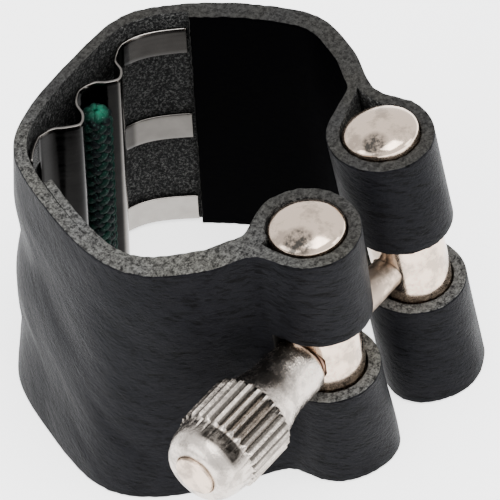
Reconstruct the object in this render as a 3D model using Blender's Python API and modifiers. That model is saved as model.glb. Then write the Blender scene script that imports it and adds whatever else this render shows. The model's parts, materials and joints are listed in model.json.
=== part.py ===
"""Saxophone ligature: a leather strap folded round two metal posts and drawn together
by a knurled thumbscrew, with a sprung metal reed plate and a braided cord inside it.

Plan positions are measured from the middle of the gap between the posts: +X runs along
the screw, away from its knob, +Y runs from the posts to the reed plate, +Z is up the
mouthpiece. The empty "ligature_frame" carries everything to the part's own origin.
"""

import math

import bmesh
import bpy
from mathutils import Vector

MM = 0.001

# Place of the gap's middle from the centre of the whole object's box
FRAME_SHIFT = Vector((4.81, 1.79, 0.0)) * MM

# Strap
STRAP_HEIGHT = 25.2 * MM
WALL_THICKNESS = 1.1 * MM
FLAP_THICKNESS_LEFT = 0.95 * MM
FLAP_THICKNESS_RIGHT = 0.65 * MM
LAYER_GAP = 0.1 * MM
SPAN_STEPS = 5
SEAM = 0.035  # half the gap between two strap nodes, in spans of the outline

# Outer face of the strap, (x, y) in millimetres from the left neck round the back to the
# right neck: its top edge, then its bottom edge. The strap widens towards the bottom.
OUTLINE_TOP = [(-11.2, -10.7), (-14.2, -8.8), (-17.5, -4.9), (-18.0, 0.0), (-15.6, 6.8),
               (-12.3, 12.2), (-7.7, 14.4), (-0.7, 15.1), (5.1, 14.7), (9.1, 11.5),
               (12.5, 6.3), (14.3, 0.9), (12.8, -3.7), (10.6, -6.8), (9.9, -8.6)]
OUTLINE_BOTTOM = [(-10.8, -12.7), (-14.9, -9.8), (-19.4, -5.4), (-21.0, -0.8), (-19.0, 5.8),
                  (-15.2, 12.6), (-8.8, 15.9), (-1.0, 16.9), (5.1, 15.6), (9.1, 11.7),
                  (12.1, 6.5), (14.2, 0.4), (13.4, -5.5), (11.2, -9.6), (10.2, -12.4)]
NECK_LEFT = 1.35
BEND_LEFT = 1.03  # where a loop's inner end bends to follow the wall
JOIN_LEFT = 1.5
CORNER_LEFT = 6.0
FLAP_LEFT_END = 5.2
PLATE_CORNER = 9.98
FLAP_RIGHT_END = 10.1
JOIN_RIGHT = 13.7
BEND_RIGHT = 14.1
NECK_RIGHT = 14.6

# Posts
POST_RADIUS = 3.175 * MM
POST_SPACING = 12.0 * MM
POST_LEAN_LEFT = math.radians(-4.94)
POST_LEAN_RIGHT = math.radians(-10.46)
POST_DOME = 1.1 * MM
POST_TOP_PROUD = 1.0 * MM
POST_FOOT_RECESS = 0.8 * MM
LOOP_RADIUS = 4.47 * MM
LOOP_WALL = 1.1 * MM
LOOP_STEPS = 24
BEND_REACH = 0.6 * MM
WINDOW_BOTTOM = 9.85 * MM
WINDOW_TOP = 16.2 * MM

# Thumbscrew
SCREW_Y = -13.7 * MM
SCREW_Z = 12.5 * MM
ROD_RADIUS = 1.42 * MM
ROD_HOLE = 1.52 * MM
ROD_TIP_PROUD = 0.9 * MM
SEAT_RADIUS = 2.2 * MM  # flat seat sunk in the left post for the washers
SEAT_DEPTH = 0.75 * MM
WASHER_RADIUS = 2.05 * MM
WASHER_THICKNESS = 0.3 * MM
WASHER_GAP = 0.08 * MM
HUB_RADIUS = 2.45 * MM
HUB_WAIST = 2.35 * MM
HUB_LENGTH = 3.8 * MM
FLARE_LENGTH = 2.6 * MM
KNOB_RADIUS = 3.88 * MM
KNURL_LENGTH = 5.0 * MM
KNOB_DOME = 3.0 * MM
KNOB_END_RADIUS = 2.3 * MM
FLUTES = 28
FLUTE_DEPTH = 0.3 * MM
ROD_END_RADIUS = 1.8 * MM
ROD_END_PROUD = 0.25 * MM

# Reed plate and cord
PLATE_THICKNESS = 0.3 * MM
PLATE_BOTTOM = 0.3 * MM
PLATE_TOP = 23.6 * MM
FINGER_HEIGHT = 2.9 * MM
# Middle of the sheet across the sprung spine at the strap's top, (x, y) in millimetres
SPINE = [(-8.7, 12.75), (-7.4, 12.35), (-6.6, 11.5), (-5.6, 10.75), (-4.6, 11.3), (-3.9, 12.5),
         (-2.6, 13.25), (-1.2, 12.8), (-0.5, 11.9), (0.4, 11.3), (1.3, 11.8), (1.9, 12.9), (3.0, 13.5)]
CORD_RADIUS = 1.38 * MM
CORD_AT = Vector((-2.5, 11.6)) * MM
CORD_BOTTOM = 0.9 * MM
CORD_TOP = 22.0 * MM

# Flex lines, where the strap bends beside the reed plate
HINGE_LEFT = Vector((-13.2, 11.7, 0.0)) * MM
HINGE_RIGHT = Vector((9.1, 10.7, 0.0)) * MM


def clear_scene():
    for obj in list(bpy.data.objects):
        bpy.data.objects.remove(obj, do_unlink=True)


def new_collection(name):
    collection = bpy.data.collections.new(name)
    bpy.context.scene.collection.children.link(collection)
    return collection


def material(name, colour, roughness, metallic):
    made = bpy.data.materials.new(name)
    made.use_nodes = True
    shader = made.node_tree.nodes["Principled BSDF"]
    shader.inputs["Base Color"].default_value = (*colour, 1.0)
    shader.inputs["Roughness"].default_value = roughness
    shader.inputs["Metallic"].default_value = metallic
    return made


def add_object(name, bm, collection, finish, smooth=False):
    mesh = bpy.data.meshes.new(name)
    bmesh.ops.recalc_face_normals(bm, faces=bm.faces)
    bm.to_mesh(mesh)
    bm.free()
    obj = bpy.data.objects.new(name, mesh)
    collection.objects.link(obj)
    mesh.materials.append(finish)
    for polygon in mesh.polygons:
        polygon.use_smooth = smooth
    return obj


# ---------------------------------------------------------------- plan curves

def spline_point(keys, u):
    """Point at u on the Catmull-Rom curve through keys, where u = 2 is keys[2]."""
    last = len(keys) - 1
    i = min(max(int(u), 0), last - 1)
    t = u - i
    p1 = keys[i]
    p2 = keys[i + 1]
    p0 = keys[i - 1] if i > 0 else 2 * p1 - p2
    p3 = keys[i + 2] if i + 2 <= last else 2 * p2 - p1
    square = 2 * p0 - 5 * p1 + 4 * p2 - p3
    cube = 3 * p1 - p0 - 3 * p2 + p3
    return 0.5 * (2 * p1 + (p2 - p0) * t + square * t * t + cube * t ** 3)


def steps(start, end, count):
    return [start + (end - start) * i / count for i in range(count + 1)]


def post_middle(side, z):
    """Centre of a post's section at height z; side is -1 for the left post, 1 for the right."""
    lean = POST_LEAN_LEFT if side < 0 else POST_LEAN_RIGHT
    return Vector((side * POST_SPACING / 2, SCREW_Y - math.tan(lean) * (z - SCREW_Z)))


def on_loop(side, degrees, z):
    angle = math.radians(degrees)
    return post_middle(side, z) + LOOP_RADIUS * Vector((math.cos(angle), math.sin(angle)))


def outline_keys(z):
    """Keys of the strap's outer face at height z; the first and last lie on the loops."""
    level = z / STRAP_HEIGHT
    keys = [on_loop(-1, 180, z)]
    for bottom, top in zip(OUTLINE_BOTTOM, OUTLINE_TOP):
        keys.append(Vector(bottom).lerp(Vector(top), level) * MM)
    keys.append(on_loop(1, 0, z))
    return keys


def offset(path, depths):
    """Move each point of a path to its right-hand side by its depth."""
    moved = []
    for i, (point, depth) in enumerate(zip(path, depths)):
        ahead = path[min(i + 1, len(path) - 1)]
        behind = path[max(i - 1, 0)]
        along = (ahead - behind).normalized()
        moved.append(point + depth * Vector((along.y, -along.x)))
    return moved


def wall_path(start, end, z, depth=0.0):
    """The strap's outer face from start to end, moved into the strap by depth."""
    keys = outline_keys(z)
    path = []
    for u in steps(start, end, max(2, round(abs(end - start) * SPAN_STEPS))):
        along = (spline_point(keys, u + 0.01) - spline_point(keys, u - 0.01)).normalized()
        path.append(spline_point(keys, u) + depth * Vector((along.y, -along.x)))
    return path


def flap_thickness(side):
    return FLAP_THICKNESS_LEFT if side < 0 else FLAP_THICKNESS_RIGHT


def tangent_angle(side, point, z):
    """Angle on a loop whose tangent runs to a point on the loop's inner side."""
    away = point - post_middle(side, z)
    spread = math.acos(LOOP_RADIUS / away.length)
    return math.degrees(math.atan2(away.y, away.x) + side * spread)


def loop_path(side, z):
    """Grain face from the outer wall round the post and round the bend to the turned-in end."""
    if side < 0:
        outer = wall_path(NECK_LEFT - SEAM, 0.0, z)
        bend, join, start = BEND_LEFT, JOIN_LEFT - SEAM, 180
    else:
        outer = wall_path(NECK_RIGHT + SEAM, 16.0, z)
        bend, join, start = BEND_RIGHT, JOIN_RIGHT + SEAM, 0
    inner = wall_path(bend, join, z, WALL_THICKNESS + LAYER_GAP + flap_thickness(side))
    corner = inner[0]
    end = tangent_angle(side, corner, z) - side * 360
    arc = [on_loop(side, angle, z) for angle in steps(start, end, LOOP_STEPS)]
    entry = corner + BEND_REACH * (arc[-1] - corner).normalized()
    curve = []
    for t in steps(0.0, 1.0, SPAN_STEPS):
        curve.append(entry * (1 - t) ** 2 + corner * (2 * t * (1 - t)) + inner[1] * t * t)
    return outer[:-1] + arc + curve + inner[2:], len(outer) - 1, len(arc)


def clear_of_post(side, points, z):
    """Push points out to the loop's inner radius where they come nearer the post."""
    middle = post_middle(side, z)
    cleared = []
    for point in points:
        away = point - middle
        nearest = max(away.length, LOOP_RADIUS - LOOP_WALL)
        cleared.append(middle + away.normalized() * nearest)
    return cleared


def slab(name, faces_at, levels, collection, finish):
    """Closed solid between two paths that face each other, through the given heights."""
    bm = bmesh.new()
    rows = []
    for z in levels:
        near, far = faces_at(z)
        rows.append([[bm.verts.new((p.x, p.y, z)) for p in path] for path in (near, far)])
    last = len(rows[0][0]) - 1
    for low, high in zip(rows, rows[1:]):
        for side in (0, 1):
            for i in range(last):
                bm.faces.new((low[side][i], low[side][i + 1], high[side][i + 1], high[side][i]))
        for i in (0, last):
            bm.faces.new((low[0][i], low[1][i], high[1][i], high[0][i]))
    for row in (rows[0], rows[-1]):
        for i in range(last):
            bm.faces.new((row[0][i], row[0][i + 1], row[1][i + 1], row[1][i]))
    return add_object(name, bm, collection, finish)


def strap_section(name, start, end, depth, thickness, collection, finish):
    def faces_at(z):
        return wall_path(start, end, z, depth), wall_path(start, end, z, depth + thickness)
    return slab(name, faces_at, (0.0, STRAP_HEIGHT), collection, finish)


def strap_loop(name, side, bottom, top, collection, finish):
    def faces_at(z):
        path, outer_count, arc_count = loop_path(side, z)
        depths = []
        for i in range(len(path)):
            if i < outer_count:
                blend = i / outer_count
                depth = WALL_THICKNESS + (LOOP_WALL - WALL_THICKNESS) * blend
            elif i < outer_count + arc_count:
                depth = LOOP_WALL
            else:
                depth = flap_thickness(side)
            depths.append(side * depth)
        return path, clear_of_post(side, offset(path, depths), z)
    return slab(name, faces_at, (bottom, top), collection, finish)


# ---------------------------------------------------------------- turned pieces

def turned(name, profile, segments, collection, finish):
    """Closed solid of revolution about Z from (radius, z) points, top to bottom."""
    bm = bmesh.new()
    line = [bm.verts.new((radius, 0.0, z)) for radius, z in profile]
    for first, second in zip(line, line[1:]):
        bm.edges.new((first, second))
    obj = add_object(name, bm, collection, finish, smooth=True)
    screw = obj.modifiers.new("turn", "SCREW")
    screw.steps = segments
    screw.render_steps = segments
    screw.use_merge_vertices = True
    screw.merge_threshold = 0.00001
    screw.use_smooth_shade = True
    return obj


def applied(obj):
    """Turn an object's modifiers into plain mesh."""
    graph = bpy.context.evaluated_depsgraph_get()
    mesh = bpy.data.meshes.new_from_object(obj.evaluated_get(graph))
    obj.modifiers.clear()
    obj.data = mesh
    return obj


def dome_profile(radius, shoulder, apex, count=5):
    """(radius, z) points from the apex of a low dome out to its shoulder."""
    points = []
    for angle in steps(0.0, math.pi / 2, count):
        points.append((radius * math.sin(angle), shoulder + (apex - shoulder) * math.cos(angle)))
    return points


def make_post(name, side, collection, cutters, finish):
    """Domed post with a cross hole; the left one also has the washers' flat seat."""
    lean = POST_LEAN_LEFT if side < 0 else POST_LEAN_RIGHT
    top = (STRAP_HEIGHT - SCREW_Z) / math.cos(lean) + POST_TOP_PROUD
    foot = -(SCREW_Z - POST_FOOT_RECESS) / math.cos(lean)
    profile = dome_profile(POST_RADIUS, top - POST_DOME, top)
    profile += reversed(dome_profile(POST_RADIUS, foot + POST_DOME, foot))
    post = turned(name, profile, 40, collection, finish)
    post.location = (side * POST_SPACING / 2, SCREW_Y, SCREW_Z)
    post.rotation_euler = (lean, 0.0, 0.0)
    pieces = [post, cut_along_screw(post, "hole", ROD_HOLE, 0.0, 3 * POST_RADIUS, cutters, finish)]
    if side < 0:
        seat_x = SEAT_DEPTH / 2 - POST_RADIUS - 0.5 * MM
        seat_length = SEAT_DEPTH + 1.0 * MM
        pieces.append(cut_along_screw(post, "seat", SEAT_RADIUS, seat_x, seat_length, cutters, finish))
    return pieces


def cut_along_screw(post, label, radius, shift, length, cutters, finish):
    """Cut a round hole along X into a post; shift is the cutter's centre from the post's."""
    cutter = cylinder(post.name + "_" + label, radius, length, 32, cutters, finish)
    cutter.location = Vector(post.location) + Vector((shift, 0.0, 0.0))
    cutter.rotation_euler = (0.0, math.pi / 2, 0.0)
    cutter.hide_render = True
    cutter.display_type = "WIRE"
    cut = post.modifiers.new(label, "BOOLEAN")
    cut.operation = "DIFFERENCE"
    cut.object = cutter
    return cutter


def cylinder(name, radius, length, segments, collection, finish):
    bm = bmesh.new()
    bmesh.ops.create_cone(bm, cap_ends=True, segments=segments, radius1=radius, radius2=radius,
                          depth=length)
    return add_object(name, bm, collection, finish, smooth=True)


def lay_on_screw(obj, x):
    """Put a piece turned about Z on the screw's axis, its top towards the knob's end."""
    obj.location = (x, SCREW_Y, SCREW_Z)
    obj.rotation_euler = (0.0, -math.pi / 2, 0.0)


def make_washer(name, x, collection, finish):
    half = WASHER_THICKNESS / 2
    ring = [(ROD_HOLE, half), (WASHER_RADIUS, half), (WASHER_RADIUS, -half), (ROD_HOLE, -half),
            (ROD_HOLE, half)]
    washer = turned(name, ring, 32, collection, finish)
    lay_on_screw(washer, x)
    return washer


def make_knob(x, collection, finish):
    """Knurled knob with its hub; its bore takes the rod, and x is the hub's free end."""
    knurl_start = HUB_LENGTH + FLARE_LENGTH
    knurl_end = knurl_start + KNURL_LENGTH
    dome = []
    for angle in steps(0.0, math.pi / 2, 5):
        radius = KNOB_END_RADIUS + (KNOB_RADIUS - 0.15 * MM - KNOB_END_RADIUS) * math.sin(angle)
        dome.append((radius, knurl_end + KNOB_DOME * math.cos(angle)))
    bore = ROD_END_RADIUS + 0.1 * MM
    profile = [(bore, knurl_end + KNOB_DOME)] + dome
    profile += [(KNOB_RADIUS, z) for z in steps(knurl_end - 0.2 * MM, knurl_start + 0.3 * MM, 2)]
    profile += [(KNOB_RADIUS - 0.4 * MM, knurl_start)]
    for t in steps(0.15, 1.0, 4):
        profile.append((HUB_WAIST + 0.9 * MM * (1 - t) ** 2, knurl_start - FLARE_LENGTH * t))
    profile += [(HUB_RADIUS, 0.6 * MM), (HUB_RADIUS - 0.12 * MM, 0.15 * MM), (HUB_RADIUS - 0.4 * MM, 0.0)]
    rod_bore = ROD_RADIUS + 0.1 * MM
    step_at = knurl_end + KNOB_DOME - 1.2 * MM
    profile += [(rod_bore, 0.0), (rod_bore, step_at), (bore, step_at), (bore, knurl_end + KNOB_DOME)]
    knob = applied(turned("knob", profile, 4 * FLUTES, collection, finish))
    for vertex in knob.data.vertices:
        radius = math.hypot(vertex.co.x, vertex.co.y)
        if abs(radius - KNOB_RADIUS) < 0.02 * MM:
            angle = math.atan2(vertex.co.y, vertex.co.x)
            cut = FLUTE_DEPTH * (0.5 - 0.5 * math.cos(FLUTES * angle))
            vertex.co.x *= (radius - cut) / radius
            vertex.co.y *= (radius - cut) / radius
    lay_on_screw(knob, x)
    return knob, knurl_end + KNOB_DOME


def make_rod(x, length, collection, finish):
    """Screw rod from its flat round end in the knob to its tip; x is the hub's free end."""
    tip = -(POST_SPACING + 2 * POST_RADIUS + (-POST_SPACING / 2 - POST_RADIUS - x) + ROD_TIP_PROUD)
    end = length + ROD_END_PROUD
    step_at = length - 1.1 * MM
    profile = [(0.0, end), (ROD_END_RADIUS - 0.15 * MM, end), (ROD_END_RADIUS, end - 0.1 * MM),
               (ROD_END_RADIUS, step_at), (ROD_RADIUS, step_at), (ROD_RADIUS, tip + 0.4 * MM),
               (ROD_RADIUS - 0.4 * MM, tip), (0.0, tip)]
    rod = turned("screw_rod", profile, 32, collection, finish)
    lay_on_screw(rod, x)
    return rod


# ---------------------------------------------------------------- reed plate and cord

def lean_out(z):
    """How far the strap's back stands behind its top edge at height z."""
    return Vector((0.0, 1.35 * MM)) * (1 - z / STRAP_HEIGHT)


def plate_path(z):
    """Middle of the sheet at height z, with the counts of its finger columns."""
    keys = [Vector(point) * MM + lean_out(z) for point in SPINE]
    spine = [spline_point(keys, u) for u in steps(0.0, len(keys) - 1, 3 * (len(keys) - 1))]
    depth = WALL_THICKNESS + LAYER_GAP + PLATE_THICKNESS / 2
    left = wall_path(CORNER_LEFT + 0.12, CORNER_LEFT + 0.68, z, depth)
    right = wall_path(PLATE_CORNER - 1.2, PLATE_CORNER - 0.05, z, depth)
    return left + spine + right, len(left), len(right)


def make_plate(collection, finish):
    middle = (PLATE_BOTTOM + PLATE_TOP - FINGER_HEIGHT) / 2
    levels = [PLATE_BOTTOM, PLATE_BOTTOM + FINGER_HEIGHT, middle, middle + FINGER_HEIGHT,
              PLATE_TOP - FINGER_HEIGHT, PLATE_TOP]
    bm = bmesh.new()
    rows = []
    for z in levels:
        path, left_count, right_count = plate_path(z)
        rows.append([bm.verts.new((p.x, p.y, z)) for p in path])
    columns = len(rows[0]) - 1
    for row, (low, high) in enumerate(zip(rows, rows[1:])):
        for i in range(columns):
            in_finger = i < left_count or i >= columns - right_count
            if row % 2 == 0 or not in_finger:
                bm.faces.new((low[i], low[i + 1], high[i + 1], high[i]))
    loose = [vertex for vertex in bm.verts if not vertex.link_faces]
    bmesh.ops.delete(bm, geom=loose, context="VERTS")
    plate = add_object("reed_plate", bm, collection, finish, smooth=True)
    solid = plate.modifiers.new("sheet", "SOLIDIFY")
    solid.thickness = PLATE_THICKNESS
    solid.offset = 0.0
    return plate


def make_cord(collection, finish):
    bm = bmesh.new()
    bmesh.ops.create_cone(bm, cap_ends=True, segments=24, radius1=CORD_RADIUS, radius2=CORD_RADIUS,
                          depth=CORD_TOP - CORD_BOTTOM)
    for vertex in bm.verts:
        vertex.co.z += (CORD_TOP + CORD_BOTTOM) / 2
        shift = CORD_AT + lean_out(vertex.co.z)
        vertex.co.x += shift.x
        vertex.co.y += shift.y
    return add_object("reed_cord", bm, collection, finish, smooth=True)


# ---------------------------------------------------------------- assembly

def add_axis(name, position, parent, parent_position):
    """Empty on a joint's axis; positions are in the plan's own frame."""
    axis = bpy.data.objects.new(name, None)
    axis.empty_display_size = 3 * MM
    bpy.context.scene.collection.objects.link(axis)
    axis.parent = parent
    axis.location = position - parent_position
    return axis


def hang(parts, axis, position):
    for part in parts:
        part.parent = axis
        part.location = Vector(part.location) - position


def build():
    clear_scene()
    parts = new_collection("saxophone_ligature")
    cutters = new_collection("cutters")
    leather = material("black_leather", (0.018, 0.018, 0.02), 0.5, 0.0)
    nickel = material("nickel_plate", (0.82, 0.79, 0.75), 0.22, 1.0)
    sheet = material("spring_nickel", (0.72, 0.70, 0.68), 0.3, 1.0)
    bronze = material("bronze", (0.55, 0.30, 0.16), 0.35, 1.0)
    braid = material("green_braid", (0.01, 0.12, 0.07), 0.6, 0.0)

    back = strap_section("strap_back", CORNER_LEFT + SEAM, PLATE_CORNER - SEAM, 0.0, WALL_THICKNESS,
                         parts, leather)
    side_left = strap_section("strap_side_left", NECK_LEFT + SEAM, CORNER_LEFT - SEAM, 0.0,
                              WALL_THICKNESS, parts, leather)
    side_right = strap_section("strap_side_right", PLATE_CORNER + SEAM, NECK_RIGHT - SEAM, 0.0,
                               WALL_THICKNESS, parts, leather)
    inner = WALL_THICKNESS + LAYER_GAP
    flap_left = strap_section("flap_left", JOIN_LEFT + SEAM, FLAP_LEFT_END, inner,
                              FLAP_THICKNESS_LEFT, parts, leather)
    flap_right = strap_section("flap_right", FLAP_RIGHT_END, JOIN_RIGHT - SEAM, inner,
                               FLAP_THICKNESS_RIGHT, parts, leather)
    loops = {}
    for side, label in ((-1, "left"), (1, "right")):
        loops[side] = [strap_loop("loop_lower_" + label, side, 0.0, WINDOW_BOTTOM, parts, leather),
                       strap_loop("loop_upper_" + label, side, WINDOW_TOP, STRAP_HEIGHT, parts, leather)]

    post_left = make_post("post_left", -1, parts, cutters, nickel)
    post_right = make_post("post_right", 1, parts, cutters, nickel)

    seat = -POST_SPACING / 2 - POST_RADIUS + SEAT_DEPTH
    first_washer = seat - WASHER_GAP - WASHER_THICKNESS / 2
    pitch = WASHER_THICKNESS + WASHER_GAP
    washers = [make_washer("washer_inner", first_washer, parts, bronze),
               make_washer("washer_outer", first_washer - pitch, parts, bronze)]
    hub_end = first_washer - 2 * pitch + WASHER_THICKNESS / 2
    knob, knob_length = make_knob(hub_end, parts, nickel)
    rod = make_rod(hub_end, knob_length, parts, nickel)

    plate = make_plate(parts, sheet)
    cord = make_cord(parts, braid)

    origin = Vector((0.0, 0.0, 0.0))
    frame = add_axis("ligature_frame", FRAME_SHIFT, None, origin)
    left_at = Vector((-POST_SPACING / 2, SCREW_Y, SCREW_Z))
    right_at = Vector((POST_SPACING / 2, SCREW_Y, SCREW_Z))
    flex_left = add_axis("flex_axis_left", HINGE_LEFT, frame, origin)
    flex_right = add_axis("flex_axis_right", HINGE_RIGHT, frame, origin)
    swivel_left = add_axis("swivel_axis_left", left_at, flex_left, HINGE_LEFT)
    swivel_right = add_axis("swivel_axis_right", right_at, flex_right, HINGE_RIGHT)
    screw_axis = add_axis("screw_axis", left_at, swivel_left, left_at)
    hang([back, plate, cord], frame, origin)
    hang([side_left, flap_left] + loops[-1], flex_left, HINGE_LEFT)
    hang([side_right, flap_right] + loops[1], flex_right, HINGE_RIGHT)
    hang(post_left, swivel_left, left_at)
    hang(post_right, swivel_right, right_at)
    hang([knob, rod] + washers, screw_axis, left_at)


build()
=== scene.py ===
"""Looks of the saxophone ligature: leather strap, nickel posts and thumbscrew, sprung
reed plate and braided cord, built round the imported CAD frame. Lengths are in metres."""

import json
import math

import bmesh
import bpy
import numpy as np
from mathutils import Matrix, Vector, noise


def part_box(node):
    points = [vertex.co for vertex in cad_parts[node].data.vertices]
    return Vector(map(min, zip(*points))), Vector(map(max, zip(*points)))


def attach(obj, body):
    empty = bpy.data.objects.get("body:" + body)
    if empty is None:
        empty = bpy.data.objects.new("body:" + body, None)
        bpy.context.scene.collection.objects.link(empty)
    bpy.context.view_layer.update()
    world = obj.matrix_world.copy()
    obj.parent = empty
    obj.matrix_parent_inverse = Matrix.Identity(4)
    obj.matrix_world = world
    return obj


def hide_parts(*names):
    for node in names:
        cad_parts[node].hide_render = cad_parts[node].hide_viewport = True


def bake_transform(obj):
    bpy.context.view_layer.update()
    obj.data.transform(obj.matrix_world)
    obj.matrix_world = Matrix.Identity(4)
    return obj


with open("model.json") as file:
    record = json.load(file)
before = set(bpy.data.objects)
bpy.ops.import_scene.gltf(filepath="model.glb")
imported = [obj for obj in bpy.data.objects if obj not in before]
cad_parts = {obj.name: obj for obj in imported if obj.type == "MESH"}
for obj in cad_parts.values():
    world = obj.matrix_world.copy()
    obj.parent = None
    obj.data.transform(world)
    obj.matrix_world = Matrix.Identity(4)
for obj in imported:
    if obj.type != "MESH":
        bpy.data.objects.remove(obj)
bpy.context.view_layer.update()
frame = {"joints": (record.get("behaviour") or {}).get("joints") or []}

MM = 0.001

# ---------------------------------------------------------------- places from the frame

JOINTS = {joint["name"]: joint for joint in frame["joints"]}
POST_AT = {-1: Vector(JOINTS["swivel_left"]["pos_m"]), 1: Vector(JOINTS["swivel_right"]["pos_m"])}
SCREW = Vector(JOINTS["thumbscrew_turn"]["pos_m"])
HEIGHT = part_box("strap_back")[1].z
WINDOW_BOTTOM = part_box("loop_lower_left")[1].z
WINDOW_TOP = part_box("loop_upper_left")[0].z
SCREW_TO_ORIGIN = 13.7 * MM
ORIGIN = np.array([(POST_AT[-1].x + POST_AT[1].x) / 2, SCREW.y + SCREW_TO_ORIGIN])

# ---------------------------------------------------------------- strap sizes

WALL = 1.1 * MM
LOOP_WALL = 1.1 * MM
FLAP_RIGHT = 0.75 * MM
FLAP_NECK_LEFT = 1.3 * MM   # the left flap is thick at the neck and pared towards its end
FLAP_END_LEFT = 0.8 * MM
LOOP_RADIUS = 4.47 * MM
POST_RADIUS = 3.23 * MM
LEAN = {-1: math.radians(4.94), 1: math.radians(10.46)}

# Outer face of the strap in plan, in millimetres, from the left neck round the back to the
# right neck: its top edge, then its bottom edge.
OUTLINE_TOP = [(-11.2, -10.7), (-14.2, -8.8), (-17.5, -4.9), (-18.0, 0.0), (-15.6, 6.8),
               (-12.3, 12.2), (-7.7, 14.4), (-0.7, 15.1), (5.1, 14.7), (9.1, 11.5),
               (12.5, 6.3), (14.3, 0.9), (12.8, -3.7), (10.6, -6.8), (9.9, -8.6)]
OUTLINE_BOTTOM = [(-10.8, -12.7), (-14.9, -9.8), (-19.4, -5.4), (-21.0, -0.8), (-19.0, 5.8),
                  (-15.2, 12.6), (-8.8, 15.9), (-1.0, 16.9), (5.1, 15.6), (9.1, 11.7),
                  (12.1, 6.5), (14.2, 0.4), (13.4, -5.5), (11.2, -9.6), (10.2, -12.4)]
BACK = 8.0            # the outline's span number at the back, where the two halves meet
BEND = {-1: 1.03, 1: 14.1}
FLAP_END = {-1: 5.3, 1: 10.12}
WINDOW_END = {-1: 0.7, 1: 15.25}
NECK_FILL = {-1: 0.6 * MM, 1: 0.1 * MM}
SPAN_COLUMNS = 12
ROW_HEIGHT = 0.4 * MM


# ---------------------------------------------------------------- small helpers

def plan(points):
    """Plan points in millimetres as world positions in metres."""
    return np.array(points, float) * MM + ORIGIN


def spline(keys, u):
    """Points at u on the Catmull-Rom curve through keys; u is an array of span numbers."""
    keys = np.asarray(keys, float)
    last = len(keys) - 1
    padded = np.vstack([2 * keys[0] - keys[1], keys, 2 * keys[-1] - keys[-2]])
    u = np.asarray(u, float)
    i = np.clip(u.astype(int), 0, last - 1)
    t = (u - i)[:, None]
    p0, p1, p2, p3 = padded[i], padded[i + 1], padded[i + 2], padded[i + 3]
    square = 2 * p0 - 5 * p1 + 4 * p2 - p3
    cube = 3 * p1 - p0 - 3 * p2 + p3
    return 0.5 * (2 * p1 + (p2 - p0) * t + square * t ** 2 + cube * t ** 3)


def right_normals(path):
    """Unit normals to the right-hand side of travel along a plan path."""
    along = np.gradient(path, axis=0)
    along /= np.linalg.norm(along, axis=1)[:, None]
    return np.stack([along[:, 1], -along[:, 0]], axis=1)


def gauss(x, middle, width):
    return np.exp(-((x - middle) / width) ** 2)


def smooth_step(x, low, high):
    t = np.clip((x - low) / (high - low), 0, 1)
    return t * t * (3 - 2 * t)


def mesh_object(name, bm, materials):
    mesh = bpy.data.meshes.new(name)
    bm.normal_update()
    bm.to_mesh(mesh)
    bm.free()
    obj = bpy.data.objects.new(name, mesh)
    bpy.context.scene.collection.objects.link(obj)
    for made in materials:
        mesh.materials.append(made)
    for polygon in mesh.polygons:
        polygon.use_smooth = True
    return obj


# ---------------------------------------------------------------- materials

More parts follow.
